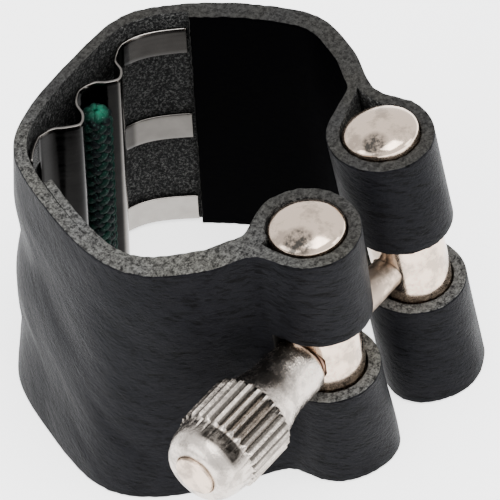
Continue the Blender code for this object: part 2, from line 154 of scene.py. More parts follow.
class Graph:
    """A small builder for one material's nodes."""

    def __init__(self, name):
        self.material = bpy.data.materials.new(name)
        self.material.use_nodes = True
        self.tree = self.material.node_tree
        self.shader = self.tree.nodes["Principled BSDF"]

    def node(self, kind, **settings):
        made = self.tree.nodes.new(kind)
        for key, value in settings.items():
            setattr(made, key, value)
        return made

    def put(self, socket, value):
        """Link a socket, or set its constant."""
        if isinstance(value, bpy.types.NodeSocket):
            self.tree.links.new(value, socket)
        else:
            socket.default_value = value

    def coordinates(self, output, scale, turn=0.0):
        """Texture coordinates from an output such as Object or UV, turned and then scaled."""
        vector = self.node("ShaderNodeTexCoord").outputs[output]
        if turn:
            turned_by = self.node("ShaderNodeMapping")
            self.put(turned_by.inputs["Vector"], vector)
            turned_by.inputs["Rotation"].default_value = (0.0, 0.0, math.radians(turn))
            vector = turned_by.outputs["Vector"]
        mapping = self.node("ShaderNodeMapping")
        self.put(mapping.inputs["Vector"], vector)
        mapping.inputs["Scale"].default_value = scale
        return mapping.outputs["Vector"]

    def millimetres(self):
        """The piece's own coordinates, one unit to the millimetre."""
        return self.coordinates("Object", (1000.0, 1000.0, 1000.0))

    def axis(self, output, label):
        """One axis of a texture coordinate."""
        split = self.node("ShaderNodeSeparateXYZ")
        self.put(split.inputs[0], self.node("ShaderNodeTexCoord").outputs[output])
        return split.outputs[label]

    def distance(self, output, point, scale):
        """Distance of the coordinates, after scaling each axis, from a point."""
        made = self.node("ShaderNodeVectorMath", operation="DISTANCE")
        self.put(made.inputs[0], self.coordinates(output, scale))
        made.inputs[1].default_value = point
        return made.outputs["Value"]

    def noise(self, vector, scale, detail=3.0, roughness=0.55, distortion=0.0):
        made = self.node("ShaderNodeTexNoise")
        self.put(made.inputs["Vector"], vector)
        made.inputs["Scale"].default_value = scale
        made.inputs["Detail"].default_value = detail
        made.inputs["Roughness"].default_value = roughness
        made.inputs["Distortion"].default_value = distortion
        return made.outputs["Fac"]

    def voronoi(self, vector, scale):
        made = self.node("ShaderNodeTexVoronoi")
        self.put(made.inputs["Vector"], vector)
        made.inputs["Scale"].default_value = scale
        return made.outputs["Distance"]

    def ramp(self, factor, stops):
        """A colour ramp with (position, grey or colour) stops in rising order."""
        made = self.node("ShaderNodeValToRGB")
        self.put(made.inputs["Fac"], factor)
        elements = made.color_ramp.elements
        elements.remove(elements[1])
        for k, (position, colour) in enumerate(stops):
            element = elements[0] if k == 0 else elements.new(position)
            element.position = position
            element.color = (*colour, 1.0) if isinstance(colour, tuple) else (colour,) * 3 + (1.0,)
        return made.outputs["Color"]

    def math(self, operation, a, b=0.0, c=0.5):
        made = self.node("ShaderNodeMath", operation=operation)
        self.put(made.inputs[0], a)
        self.put(made.inputs[1], b)
        self.put(made.inputs[2], c)
        return made.outputs[0]

    def mix(self, factor, a, b):
        made = self.node("ShaderNodeMix", data_type="RGBA")
        self.put(made.inputs["Factor"], factor)
        self.put(made.inputs["A"], a if isinstance(a, bpy.types.NodeSocket) else (*a, 1.0))
        self.put(made.inputs["B"], b if isinstance(b, bpy.types.NodeSocket) else (*b, 1.0))
        return made.outputs["Result"]

    def bump(self, height, distance, strength=1.0, normal=None):
        made = self.node("ShaderNodeBump")
        made.inputs["Strength"].default_value = strength
        made.inputs["Distance"].default_value = distance
        self.put(made.inputs["Height"], height)
        if normal is not None:
            self.put(made.inputs["Normal"], normal)
        return made.outputs["Normal"]

    def finish(self, colour=None, roughness=None, normal=None, metallic=0.0, specular=0.5):
        if colour is not None:
            self.put(self.shader.inputs["Base Color"], colour)
        if roughness is not None:
            self.put(self.shader.inputs["Roughness"], roughness)
        if normal is not None:
            self.put(self.shader.inputs["Normal"], normal)
        self.shader.inputs["Metallic"].default_value = metallic
        self.shader.inputs["Specular IOR Level"].default_value = specular
        return self.material


def leather_grain():
    """Black satin grain: creases that slant on the wall and level out towards the loops, with painted
    shade in their valleys.
    """
    g = Graph("leather_grain")
    slant = g.noise(g.coordinates("UV", (0.55, 2.3, 1.0), 44), 1.0, 6.0, 0.66, 1.2)
    level = g.noise(g.coordinates("UV", (0.60, 2.6, 1.0), 8), 1.0, 6.0, 0.68, 1.2)
    along = g.math("MULTIPLY", g.math("ABSOLUTE", g.axis("UV", "X")), 0.01)
    levelling = g.ramp(along, [(0.22, 0.0), (0.40, 1.0)])
    creases = g.mix(levelling, slant, level)
    fine = g.noise(g.coordinates("UV", (2.2, 3.4, 1.0), 20), 1.0, 4.0, 0.7, 0.4)
    broad = g.noise(g.coordinates("UV", (0.10, 0.22, 1.0), 40), 1.0, 3.0)
    pores = g.voronoi(g.coordinates("UV", (3.0, 3.6, 1.0)), 1.0)
    # Painted shade: the crease valleys are made darker than the crests.
    crease_shade = g.ramp(creases, [(0.38, 0.0), (0.52, 1.0)])
    colour = g.mix(crease_shade, (0.0006, 0.0006, 0.0008), (0.0052, 0.0053, 0.0066))
    rough = g.ramp(broad, [(0.3, 0.38), (0.7, 0.54)])
    normal = g.bump(broad, 0.5 * MM, 0.6)
    normal = g.bump(creases, 0.11 * MM, 0.6, normal)
    normal = g.bump(fine, 0.08 * MM, 1.0, normal)
    normal = g.bump(pores, 0.03 * MM, 0.5, normal)
    return g.finish(colour, rough, normal, specular=0.034)


def leather_inner():
    """The smooth black face that the turned-in ends show inside the strap."""
    g = Graph("leather_inner")
    grain = g.noise(g.coordinates("UV", (1.2, 2.0, 1.0)), 1.0, 4.0, 0.6)
    colour = g.mix(grain, (0.0002, 0.0002, 0.0004), (0.0007, 0.0007, 0.0010))
    rough = g.ramp(grain, [(0.3, 0.5), (0.7, 0.62)])
    return g.finish(colour, rough, g.bump(grain, 0.05 * MM, 0.6), specular=0.006)


def leather_rim():
    """Cut edge of the leather: grey fibre speckle, paler towards the left front, with painted shade on
    the window's upright edges and painted light on its bottom edge.
    """
    g = Graph("leather_rim")
    where = g.millimetres()
    fibres = g.noise(where, 2.3, 6.0, 0.72)
    dust = g.noise(where, 6.5, 3.0, 0.7)
    tint = g.noise(where, 0.16, 2.0)
    # Paler towards the left front, a tone set by place.
    paler_left_and_painted_light = g.ramp(g.math("MULTIPLY_ADD", g.axis("Object", "X"), 40.0, 0.5),
                  [(0.1, 0.85), (0.27, 0.66), (0.46, 0.30), (1.0, 0.24)])
    # Painted shade: the window's upright edges, between its two level ones, are black, and painted
    # light keeps the level edge at the window's bottom pale
    level = g.math("MULTIPLY", g.axis("Object", "Z"), 1.0 / HEIGHT)
    lit = g.ramp(level, [(0.385, 1.0), (0.405, 0.1), (0.63, 0.1), (0.645, 1.0)])
    step = g.ramp(level, [(0.370, 0.0), (0.384, 0.9), (0.396, 0.9), (0.405, 0.0)])
    paler_left_and_painted_light = g.math("MAXIMUM", g.math("MULTIPLY", paler_left_and_painted_light, lit), step)
    light = g.mix(tint, (0.135, 0.137, 0.142), (0.150, 0.144, 0.118))
    dark = g.mix(tint, (0.007, 0.007, 0.008), (0.011, 0.010, 0.008))
    fleck = g.ramp(g.mix(0.4, fibres, dust), [(0.42, 0.0), (0.60, 1.0)])
    colour = g.mix(g.math("MULTIPLY", fleck, paler_left_and_painted_light), dark, light)
    normal = g.bump(fibres, 0.10 * MM, 0.8)
    return g.finish(colour, g.ramp(fibres, [(0.0, 0.95), (1.0, 0.8)]), normal, specular=0.08)


def leather_suede():
    """Brushed flesh side: nap with bright sparkling grains."""
    g = Graph("leather_suede")
    where = g.millimetres()
    nap = g.noise(where, 2.0, 5.0, 0.75)
    grains = g.noise(where, 4.2, 5.0, 0.85)
    spark = g.ramp(grains, [(0.50, 0.0), (0.64, 1.0)])
    base = g.mix(nap, (0.001, 0.001, 0.0012), (0.013, 0.013, 0.013))
    colour = g.mix(spark, base, (0.115, 0.115, 0.11))
    normal = g.bump(nap, 0.2 * MM, 1.0)
    return g.finish(colour, g.ramp(nap, [(0.3, 0.9), (0.7, 0.75)]), normal, specular=0.08)


def nickel(name, tarnish=0.45, reflection_patch=None, grooves=None, shine=(0.10, 0.22), tint=(0.68, 0.535, 0.42)):
    """Polished nickel plate with faint wear and a little dark tarnish.

    patch is the (point, radius) of a painted dark reflection, a darker mottled spot, and grooves the
    (radius, depth, start, end) of flutes with painted shade in their hollows, both in the piece's own
    metres. A piece with flutes has its painted dark reflection just beyond their end. shine is the
    roughness from best to worst, and a piece that starts above 0.15 is rubbed, with a mottled finish."""
    g = Graph(name)
    where = g.millimetres()
    cloud = g.noise(where, 0.42, 6.0, 0.66)
    mottle = g.noise(where, 1.6, 5.0, 0.7)
    lines = g.noise(g.coordinates("Object", (220.0, 220.0, 1400.0)), 1.0, 3.0, 0.6)
    dark = g.ramp(cloud, [(0.42, 1.0), (0.54, 0.0)])
    shade = g.math("MULTIPLY", dark, tarnish)
    if reflection_patch is not None:
        centre, radius = reflection_patch
        # Painted dark reflection: a darker mottled spot round the given point.
        near = g.distance("Object", centre, (1.0, 1.0, 1.0))
        spot = g.ramp(g.math("MULTIPLY", near, 0.5 / radius), [(0.32, 1.0), (0.55, 0.0)])
        if grooves is None:
            spot = g.math("MULTIPLY", spot, g.ramp(mottle, [(0.42, 1.0), (0.62, 0.4)]))
            shade = g.math("MAXIMUM", shade, spot)
    if grooves is not None:
        radius, depth, start, end = grooves
        # Painted shade in the flutes' hollows, the darker the deeper.
        out = g.distance("Object", (0.0, 0.0, 0.0), (1.0, 1.0, 0.0))
        rise = g.math("MULTIPLY_ADD", out, 1.0 / depth, 1.0 - radius / depth)
        groove_shade = g.ramp(rise, [(0.34, 0.95), (0.60, 0.0)])
        length = end - start
        along = g.math("MULTIPLY_ADD", g.axis("Object", "Z"), 1.0 / length, -start / length)
        inside = g.ramp(along, [(0.0, 0.0), (0.03, 1.0), (0.985, 1.0), (1.0, 0.0)])
        shade = g.math("MAXIMUM", shade, g.math("MULTIPLY", groove_shade, inside))
        # A ramp ends at 1, so half the distance along is what reaches beyond the flutes
        beyond = g.math("MULTIPLY", along, 0.5)
        # Painted dark reflection: a band on the shoulder just beyond the flutes.
        band = g.ramp(beyond, [(0.52, 0.0), (0.535, 1.0), (0.65, 1.0), (0.69, 0.0)])
        band = g.math("MULTIPLY", band, g.ramp(mottle, [(0.35, 1.0), (0.70, 0.88)]))
        spot = g.math("MULTIPLY", band, spot)
    colour = g.mix(shade, tint, (0.06, 0.054, 0.047))
    # On a fluted piece the painted dark reflection is drawn near black.
    if grooves is not None:
        colour = g.mix(spot, colour, (0.006, 0.005, 0.004))
    rubbed = shine[0] > 0.15
    rough = g.ramp(mottle if rubbed else lines, [(0.3, shine[0]), (0.75, shine[1])])
    normal = g.bump(lines, 0.01 * MM, 0.3)
    if rubbed:
        normal = g.bump(mottle, 0.06 * MM, 1.0, normal)
    return g.finish(colour, rough, normal, metallic=1.0)


def spring_sheet():
    """Rolled spring sheet with painted reflections: dark up to the crest beside the cord and bright
    beyond it, a painted highlight along the top edge, and painted dark reflections dimming the fingers.
    """
    g = Graph("spring_sheet")
    cloud = g.noise(g.millimetres(), 0.6, 4.0)
    lines = g.noise(g.coordinates("Object", (300.0, 300.0, 3000.0)), 1.0, 3.0)
    dark = g.mix(cloud, (0.001, 0.001, 0.001), (0.008, 0.0075, 0.007))
    bright = g.mix(cloud, (0.20, 0.187, 0.172), (0.34, 0.318, 0.295))
    # Painted reflection: dark left of the crest beside the cord, bright right of it.
    across = g.math("MULTIPLY_ADD", g.axis("Object", "X"), 40.0, 0.5)
    level = g.math("MULTIPLY", g.axis("Object", "Z"), 1.0 / HEIGHT)
    # Painted highlight: a bright line along the top cut edge.
    edge = g.ramp(level, [(0.925, 0.0), (0.934, 1.0)])
    right = g.math("MAXIMUM", g.ramp(across, [(0.697, 0.0), (0.709, 1.0)]), edge)
    # Painted dark reflections: the fingers are the duller the higher they are, and dullest in the
    # corner by the spine
    higher = g.ramp(level, [(0.15, 0.0), (0.40, 0.66), (0.55, 0.66),
                            (0.80, 0.93), (0.925, 0.93), (0.934, 0.0)])
    corner = g.ramp(level, [(0.15, 0.0), (0.40, 0.90), (0.55, 0.90),
                            (0.80, 1.0), (0.925, 1.0), (0.934, 0.0)])
    corner = g.math("MULTIPLY", corner, g.ramp(across, [(0.865, 1.0), (0.925, 0.0)]))
    painted_dimming = g.math("MAXIMUM", higher, corner)
    beside = g.ramp(across, [(0.78, 0.0), (0.80, 1.0)])
    bright = g.mix(g.mix(beside, (0.5, 0.5, 0.5), painted_dimming), bright, dark)
    rough = g.ramp(lines, [(0.3, 0.12), (0.7, 0.26)])
    return g.finish(g.mix(right, dark, bright), rough, g.bump(lines, 0.01 * MM, 0.4), metallic=1.0)


def bronze():
    g = Graph("bronze")
    cloud = g.noise(g.millimetres(), 1.2, 4.0)
    colour = g.mix(cloud, (0.06, 0.033, 0.022), (0.28, 0.17, 0.12))
    rough = g.ramp(cloud, [(0.3, 0.45), (0.7, 0.25)])
    return g.finish(colour, rough, g.bump(cloud, 0.02 * MM, 0.5), metallic=1.0)


FRAY_RADIUS = 0.95 * MM


def braid_thread(name, dark, light, frayed):
    """Twisted yarn: fine lines along each strand, frayed to a bright green near one point, with painted
    glints.
    """
    g = Graph(name)
    twist = g.noise(g.coordinates("UV", (1.0, 14.0, 1.0)), 1.0, 3.0)
    patches = g.noise(g.millimetres(), 1.1, 3.0)
    colour = g.mix(g.math("MULTIPLY", twist, patches), dark, light)
    near = g.math("MULTIPLY", g.distance("Object", frayed, (1.0, 1.0, 1.0)), 0.5 / FRAY_RADIUS)
    spot = g.ramp(near, [(0.15, 1.0), (0.55, 0.0)])
    spot = g.math("MULTIPLY", spot, g.ramp(patches, [(0.35, 0.2), (0.60, 1.0)]))
    colour = g.mix(spot, colour, (0.006, 0.13, 0.075))
    # Painted glints: small paler green flecks on the yarn.
    painted_glints = g.noise(g.millimetres(), 7.0, 2.0)
    colour = g.mix(g.ramp(painted_glints, [(0.60, 0.0), (0.72, 0.8)]), colour, (0.05, 0.115, 0.09))
    rough = g.ramp(twist, [(0.3, 0.85), (0.7, 0.6)])
    return g.finish(colour, rough, g.bump(twist, 0.04 * MM, 0.8), specular=0.12)


def plain_floor():
    g = Graph("pale_floor")
    cloud = g.noise(g.coordinates("Object", (20.0, 20.0, 20.0)), 1.0, 2.0)
    g.shader.inputs["Emission Color"].default_value = (1.0, 1.0, 1.0, 1.0)
    g.shader.inputs["Emission Strength"].default_value = 2.0
    return g.finish(g.mix(cloud, (0.93, 0.93, 0.93), (0.95, 0.95, 0.95)), 0.9)


# ---------------------------------------------------------------- thick sheets

def thick_sheet(name, front, back, keep, materials, edge=0.12 * MM, back_edge=None, rough_edge=0.0,
                uv=None, front_index=None, butt=False):
    """Closed sheet between two grids of points (columns, rows, xyz), with rounded cut edges.

    keep marks the cells that hold material, so it can leave openings. The faces take the
    materials in the order front, back, cut edge; front_index can change the front's by column.
    uv is the front's (columns, rows, 2) map. With butt the first column is left square, to
    meet another sheet there."""
    columns, rows = front.shape[:2]
    back_edges = np.full(columns, edge) if back_edge is None else back_edge
    bm = bmesh.new()
    uv_layer = bm.loops.layers.uv.new("UVMap")
    used = np.zeros((columns, rows), bool)
    for shift in ((0, 0), (1, 0), (0, 1), (1, 1)):
        used[shift[0]:columns - 1 + shift[0], shift[1]:rows - 1 + shift[1]] |= keep
    pad = np.zeros((columns + 1, rows + 1), bool)
    pad[1:-1, 1:-1] = keep
    # On the boundary, the way in towards kept cells, in grid steps
    into = np.zeros((columns, rows, 2))
    count = np.zeros((columns, rows))
    for dx, dy in ((0, 0), (1, 0), (0, 1), (1, 1)):
        cell = pad[dx:dx + columns, dy:dy + rows]
        into[..., 0] += cell * (dx * 2 - 1)
        into[..., 1] += cell * (dy * 2 - 1)
        count += cell
    if butt:
        into[0, :, 0] = 0.0
    border = used & (count < 4)
    step_i = np.gradient(front, axis=0)
    step_j = np.gradient(front, axis=1)
    length_i = np.linalg.norm(step_i, axis=2)[..., None]
    length_j = np.linalg.norm(step_j, axis=2)[..., None]
    way = into[..., :1] * step_i / length_i + into[..., 1:] * step_j / length_j
    size = np.linalg.norm(way, axis=2)[..., None]
    way = np.where(size > 1e-9, way / np.maximum(size, 1e-9), 0.0)

    profile = [(0.0, 1.0), (0.3, 0.3), (1.0, 0.0)]
    faces = {}
    rim = {}
    for i, j in zip(*np.nonzero(used)):
        a, b = Vector(front[i, j]), Vector(back[i, j])
        if not border[i, j]:
            faces[i, j] = (bm.verts.new(a), bm.verts.new(b))
            continue
        thick = (b - a).length
        inward = Vector(way[i, j])
        line = []
        for depth, inset in profile:
            line.append(a.lerp(b, depth * edge / thick) + inward * inset * edge)
        for share in (0.35, 0.65):
            line.append(a.lerp(b, share))
        for depth, inset in reversed(profile):
            line.append(b.lerp(a, depth * back_edges[i] / thick) + inward * inset * back_edges[i])
        if rough_edge:
            for n in range(1, len(line) - 1):
                spot = line[n] * 2600.0
                fibre = noise.noise(spot) + 0.5 * noise.noise(spot * 2.7)
                line[n] = line[n] - inward * fibre * rough_edge
        verts = [bm.verts.new(point) for point in line]
        rim[i, j] = verts
        faces[i, j] = (verts[0], verts[-1])

    def add(verts, index, corners):
        face = bm.faces.new(verts)
        face.material_index = index
        face.smooth = True
        if uv is not None:
            for loop, corner in zip(face.loops, corners):
                loop[uv_layer].uv = uv[corner]
        return face

    butted = []
    for i, j in zip(*np.nonzero(keep)):
        corners = [(i, j), (i + 1, j), (i + 1, j + 1), (i, j + 1)]
        grain = 0 if front_index is None else int(front_index[i])
        add([faces[c][0] for c in corners], grain, corners)
        add([faces[c][1] for c in reversed(corners)], 1, corners[::-1])
        for k, (di, dj) in enumerate(((0, -1), (1, 0), (0, 1), (-1, 0))):
            if pad[i + 1 + di, j + 1 + dj]:
                continue
            first, second = corners[k], corners[(k + 1) % 4]
            for n in range(len(profile) * 2 + 1):
                quad = [rim[second][n], rim[first][n], rim[first][n + 1], rim[second][n + 1]]
                side = add(quad, 2 if n not in (0, len(profile) * 2) else (grain if n == 0 else 1),
                           [second, first, first, second])
                if butt and i == 0 and k == 3:
                    butted.append(side)
    bmesh.ops.recalc_face_normals(bm, faces=bm.faces)
    bm.faces.index_update()
    flat = [face.index for face in butted]
    made = mesh_object(name, bm, materials)
    for index in flat:
        made.data.polygons[index].use_smooth = False
    return made


# ---------------------------------------------------------------- the strap

def post_middle(side, z):
    return np.array([POST_AT[side].x, SCREW.y + math.tan(LEAN[side]) * (z - SCREW.z)])


def loop_swell(side, degrees, z):
    """How far a loop stands off its circle: the lower loops gape towards each other."""
    if side < 0:
        swell = -0.3 * (1 - smooth_step(degrees, 380, 440)) + 0.95 * gauss(degrees, 312, 38)
    else:
        swell = -0.27 * (1 - smooth_step(-degrees, 200, 250)) + 0.82 * gauss(degrees, -175, 38)
        swell += 0.4 * gauss(degrees, -30, 20)
    return swell * MM * (1 - smooth_step(z, 0.0, WINDOW_BOTTOM))


def on_loop(side, degrees, z):
    angle = np.radians(degrees)
    radius = LOOP_RADIUS + loop_swell(side, degrees, z)
    return post_middle(side, z) + radius[:, None] * np.stack([np.cos(angle), np.sin(angle)], axis=1)


def outline(u, z):
    """The strap's outer face at height z; u = 0 and u = 16 lie on the loops."""
    level = z / HEIGHT
    keys = plan(OUTLINE_BOTTOM) * (1 - level) + plan(OUTLINE_TOP) * level
    ends = [on_loop(-1, np.array([180.0]), z), on_loop(1, np.array([0.0]), z)]
    return spline(np.vstack([ends[0], keys, ends[1]]), u)


def inner_wall(u, z, depth):
    """The outer face moved into the strap by depth."""
    along = outline(u + 0.01, z) - outline(u - 0.01, z)
    along /= np.linalg.norm(along, axis=1)[:, None]
    inward = np.stack([along[:, 1], -along[:, 0]], axis=1)
    return outline(u, z) + inward * np.reshape(depth, (-1, 1))


def flap_thickness(side, u):
    if side > 0:
        return np.full(len(u), FLAP_RIGHT)
    return FLAP_NECK_LEFT + (FLAP_END_LEFT - FLAP_NECK_LEFT) * smooth_step(u, 2.3, 4.0)


def clear_of_post(side, points, z, part):
    """Push loop points out to where they leave room round the post."""
    middle = post_middle(side, z)
    away = points - middle
    reach = np.linalg.norm(away, axis=1)[:, None]
    nearest = np.maximum(reach, LOOP_RADIUS - LOOP_WALL)
    return np.where((part <= 2)[:, None], middle + away / reach * nearest, points)


def strap_columns(side):
    """Grain-face path of one half as a function of height, with each column's part (0 wall,
    1 loop, 2 lead, 3 flap), outline span and thickness.

    The path starts at the back, follows the outer wall to the neck, goes round the post, bends
    round a corner and follows the wall's inner side as the flap."""
    end_u = 0.0 if side < 0 else 16.0
    wall_u = np.linspace(BACK, end_u, int(8 * SPAN_COLUMNS) + 1)
    # A narrow first column gives both halves the same shading where they meet
    wall_u = np.insert(wall_u, 1, BACK + side * 0.012)
    flap_spans = abs(FLAP_END[side] - BEND[side])
    flap_u = np.linspace(BEND[side], FLAP_END[side], int(flap_spans * SPAN_COLUMNS) + 1)
    flap = flap_thickness(side, flap_u)
    bend_count, arc_count, lead_count = 8, 64, 4
    lead_share = np.linspace(0.2, 0.8, lead_count)
    start = 180 if side < 0 else 0

    def path(z):
        wall = outline(wall_u, z)
        inner = inner_wall(flap_u, z, WALL + flap - 0.015 * MM)
        corner = inner[0]
        middle = post_middle(side, z)
        away = corner - middle
        end = math.atan2(away[1], away[0]) + side * math.acos(LOOP_RADIUS / np.linalg.norm(away))
        arc = on_loop(side, np.linspace(start, math.degrees(end) - side * 360, arc_count), z)
        entry = corner + (arc[-1] - corner) / np.linalg.norm(arc[-1] - corner) * 0.7 * MM
        lead = arc[-1] + (entry - arc[-1]) * lead_share[:, None]
        t = np.linspace(0, 1, bend_count)[:, None]
        curve = entry * (1 - t) ** 2 + corner * 2 * t * (1 - t) + inner[2] * t ** 2
        return np.vstack([wall[:-1], arc, lead, curve, inner[3:]])

    sizes = [len(wall_u) - 1, arc_count, lead_count, bend_count + len(flap_u) - 3]
    part = np.repeat([0, 1, 2, 3], sizes)
    # The neck is filled out so that the bend closes against it
    fill = NECK_FILL[side]
    bend_fill = flap[0] + fill * (1 - smooth_step(np.arange(bend_count), bend_count / 2, bend_count))
    lead_fill = LOOP_WALL + (flap[0] + fill - LOOP_WALL) * lead_share
    wall = WALL + fill * gauss(wall_u[:-1], BEND[side], 0.45)
    thickness = np.concatenate([wall, np.full(arc_count, LOOP_WALL), lead_fill, bend_fill, flap[3:]])
    around = np.full(arc_count + lead_count, end_u)
    u = np.concatenate([wall_u[:-1], around, np.full(bend_count, BEND[side]), flap_u[3:]])
    return path, part, u, thickness


def strap_bulge(side, on_wall, u, z):
    """Hollows and swellings of the outer face, in millimetres outwards; z in millimetres."""
    if side > 0:
        return np.zeros(np.broadcast_shapes(u.shape, z.shape))
    pinch = (-0.5 * gauss(z, 5.8, 3.0) - 0.42 * gauss(z, 15.8, 2.5) - 0.18 * (1 - smooth_step(z, 2, 5))
             + 0.17 * smooth_step(z, 17.5, 20.5))
    bulge = gauss(u, 6.1, 1.2) * pinch
    bulge = bulge - 0.7 * gauss(u, 1.6, 0.7) * gauss(z, 13.2, 4.0)
    # Long slanting folds across the left wall
    for at_u, at_z, slope, length, width, height in WALL_FOLDS:
        across = (z - at_z) - slope * (u - at_u) * 5.0
        along = (z - at_z) * slope + (u - at_u) * 5.0
        bulge = bulge + height * gauss(across, 0, width) * gauss(along, 0, length)
    return bulge * on_wall * smooth_step(abs(u - BACK), 0.0, 0.8)


# Folds of the left wall: middle (span, mm), slope, half length, half width and height in mm
WALL_FOLDS = [(5.6, 8.0, 1.0, 5.0, 1.0, -0.14), (4.6, 14.0, 0.8, 6.0, 1.3, -0.09),
              (3.6, 7.0, 0.9, 6.0, 1.1, -0.10), (5.3, 19.5, 0.6, 4.0, 1.0, -0.07),
              (3.0, 17.0, 0.7, 6.0, 1.2, -0.07), (4.3, 3.5, 1.1, 4.0, 0.9, -0.09),
              (2.3, 9.5, 0.5, 4.0, 1.0, -0.09)]


def build_strap_half(side, materials):
    path, part, u, thickness = strap_columns(side)
    rows = np.linspace(0, HEIGHT, int(round(HEIGHT / ROW_HEIGHT)) + 1)
    # Rows next to the window's edges are moved onto them
    for level in (WINDOW_BOTTOM, WINDOW_TOP):
        rows[np.argmin(abs(rows - level))] = level
    face = np.stack([path(z) for z in rows], axis=1)
    travel = np.gradient(face, axis=0)
    travel /= np.linalg.norm(travel, axis=2)[..., None]
    right = np.stack([travel[..., 1], -travel[..., 0]], axis=2)
    grain_out = right if side < 0 else -right
    length = np.concatenate([[0], np.cumsum(np.linalg.norm(np.diff(face[:, 0], axis=0), axis=1))])

    on_wall = (part == 0)[:, None]
    bulge = strap_bulge(side, on_wall, u[:, None], rows[None, :] / MM) * MM
    front = face + grain_out * bulge[..., None]
    back = front - grain_out * thickness[:, None, None]
    for k, z in enumerate(rows):
        back[:, k] = clear_of_post(side, back[:, k], z, part)

    def lift(points):
        height = np.broadcast_to(rows[None, :, None], points.shape[:2] + (1,))
        return np.concatenate([points, height], axis=2)

    keep = np.ones((len(face) - 1, len(rows) - 1), bool)
    in_slot = np.zeros(len(face) - 1, bool)
    start = np.argmax((part == 0) & (side * (u - WINDOW_END[side]) >= 0))
    stop = np.argmax(part == 2) + 4
    in_slot[start:stop] = True
    between = (rows[:-1] >= WINDOW_BOTTOM - 1e-6) & (rows[1:] <= WINDOW_TOP + 1e-6)
    keep[np.ix_(in_slot, between)] = False

    uv = np.stack(np.broadcast_arrays(-side * length[:, None] / MM, rows[None, :] / MM), axis=2)
    back_edge = np.where(part == 1, 0.10, 0.03) * MM
    label = "left" if side < 0 else "right"
    strap = thick_sheet("strap_" + label, lift(front), lift(back), keep, materials,
                        edge=0.16 * MM, back_edge=back_edge, rough_edge=0.09 * MM, uv=uv,
                        front_index=np.where(part >= 3, 3, 0), butt=True)
    nodes = ["strap_side_" + label, "flap_" + label, "loop_upper_" + label, "loop_lower_" + label]
    if side < 0:
        nodes.append("strap_back")
    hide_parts(*nodes)
    return strap


# ---------------------------------------------------------------- turned metal

def turned(name, profile, segments, material, radius_at=None):
    """Surface of revolution about local Z from (radius, z) points; radius_at can reshape it."""
    bm = bmesh.new()
    rings = []
    for radius, z in profile:
        if radius < 1e-7:
            rings.append([bm.verts.new((0.0, 0.0, z))])
            continue
        ring = []
        for k in range(segments):
            angle = 2 * math.pi * k / segments
            r = radius if radius_at is None else radius_at(radius, angle, z)
            ring.append(bm.verts.new((r * math.cos(angle), r * math.sin(angle), z)))
        rings.append(ring)
    for first, second in zip(rings, rings[1:]):
        for k in range(segments):
            n = (k + 1) % segments
            if len(first) == 1:
                bm.faces.new((first[0], second[k], second[n]))
            elif len(second) == 1:
                bm.faces.new((first[k], second[0], first[n]))
            else:
                bm.faces.new((first[k], second[k], second[n], first[n]))
    bmesh.ops.recalc_face_normals(bm, faces=bm.faces)
    return mesh_object(name, bm, [material])


def sharpen(obj, degrees=38):
    obj.data.set_sharp_from_angle(angle=math.radians(degrees))


def rounded(points, radius, steps=3):
    """A (radius, z) profile whose inner corners are rounded."""
    made = [points[0]]
    for before, corner, after in zip(points, points[1:], points[2:]):
        b, c, a = Vector(before), Vector(corner), Vector(after)
        reach = min(radius, (b - c).length * 0.45, (a - c).length * 0.45)
        start = c + (b - c).normalized() * reach
        end = c + (a - c).normalized() * reach
        for k in range(steps + 1):
            t = k / steps
            spot = start * (1 - t) ** 2 + c * 2 * t * (1 - t) + end * t ** 2
            made.append((spot.x, spot.y))
    made.append(points[-1])
    return made


def build_post(side, material):
    label = "left" if side < 0 else "right"
    lean = -LEAN[side]
    node = "post_" + label
    low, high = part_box(node)
    top = (high.z - SCREW.z) / math.cos(lean)
    foot = (low.z - SCREW.z) / math.cos(lean) + 0.12 * MM
    rise = 1.15 * MM
    profile = [(0.0, top)]
    for k in range(1, 11):
        angle = math.pi / 2 * k / 10
        profile.append((POST_RADIUS * math.sin(angle), top - rise + rise * math.cos(angle)))
    profile += [(POST_RADIUS, top - rise - 4 * MM), (POST_RADIUS, 4.6 * MM), (POST_RADIUS, -4.6 * MM)]
    for k in range(10, -1, -1):
        angle = math.pi / 2 * k / 10
        profile.append((POST_RADIUS * math.sin(angle), foot + rise - rise * math.cos(angle)))
    post = turned("post_body_" + label, profile, 96, material)
    post.rotation_euler = (lean, 0.0, 0.0)
    post.location = (POST_AT[side].x, SCREW.y, SCREW.z)
    sizes = [(1.5 * MM, 0.0, 12 * MM)]
    if side < 0:
        sizes.append((2.2 * MM, -POST_RADIUS, 1.5 * MM))
    for radius, shift, length in sizes:
        bpy.ops.mesh.primitive_cylinder_add(vertices=64, radius=radius, depth=length)
        cutter = bpy.context.object
        cutter.rotation_euler = (0.0, math.pi / 2, 0.0)
        cutter.location = (POST_AT[side].x + shift, SCREW.y, SCREW.z)
        cut = post.modifiers.new("hole", "BOOLEAN")
        cut.operation = "DIFFERENCE"
        cut.object = cutter
        bpy.context.view_layer.update()
        graph = bpy.context.evaluated_depsgraph_get()
        mesh = bpy.data.meshes.new_from_object(post.evaluated_get(graph))
        post.modifiers.clear()
        post.data = mesh
        bpy.data.objects.remove(cutter, do_unlink=True)
    sharpen(post, 30)
    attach(post, node)
    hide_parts(node)
    return post


def lay_on_screw(obj, x):
    """Stand a piece turned about Z on the screw's axis, its top towards the knob's end."""
    obj.rotation_euler = (0.0, -math.pi / 2, 0.0)
    obj.location = (x, SCREW.y, SCREW.z)


FLUTES = 28
FLUTE_DEPTH = 0.42 * MM
KNURL = (6.4 * MM, 11.4 * MM)   # where the flutes start and end, measured from the hub's face


